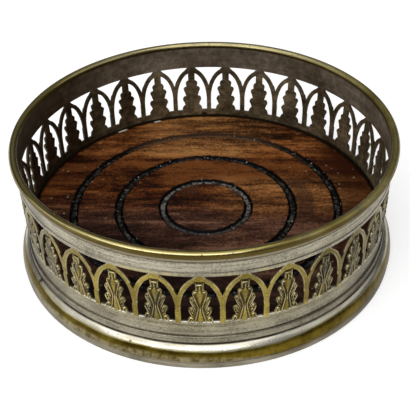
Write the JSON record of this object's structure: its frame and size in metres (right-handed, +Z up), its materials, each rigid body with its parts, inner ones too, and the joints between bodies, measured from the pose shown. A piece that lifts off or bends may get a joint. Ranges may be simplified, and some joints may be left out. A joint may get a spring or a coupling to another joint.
{
  "type": "wine bottle coaster",
  "caption": "Round wine bottle coaster: pierced metal gallery of arches and leaves, beaded rim, moulded foot, and a turned wood base with dark rings that a bottle stands on.",
  "frame": {"origin": "middle of the underside, on the table", "axes": "+Z up along the axis of the round, -Y to the front, where the middle of one leaf is"},
  "size_m": [0.131, 0.131, 0.0457],
  "materials": {
    "gallery_plate": "silver plate worn through to brass, dark in the recesses",
    "rim_brass": "bare brass with a few remains of plate",
    "band_plate": "worn silver plate over brass",
    "foot_plate": "silver plate, worn to olive brass on the round",
    "flange_brass": "unpolished sheet",
    "dark_wood": "oiled dark hardwood with blackened grooves",
    "screw_brass": "plain",
    "green_baize": "wool felt"
  },
  "bodies": {
    "root": {"gallery": "gallery_plate", "rim_moulding": "rim_brass", "base_band": "band_plate", "foot_moulding": "foot_plate", "base_flange": "flange_brass", "wood_base": "dark_wood", "flange_screws": "screw_brass", "baize_pad": "green_baize"}
  },
  "joints": []
}
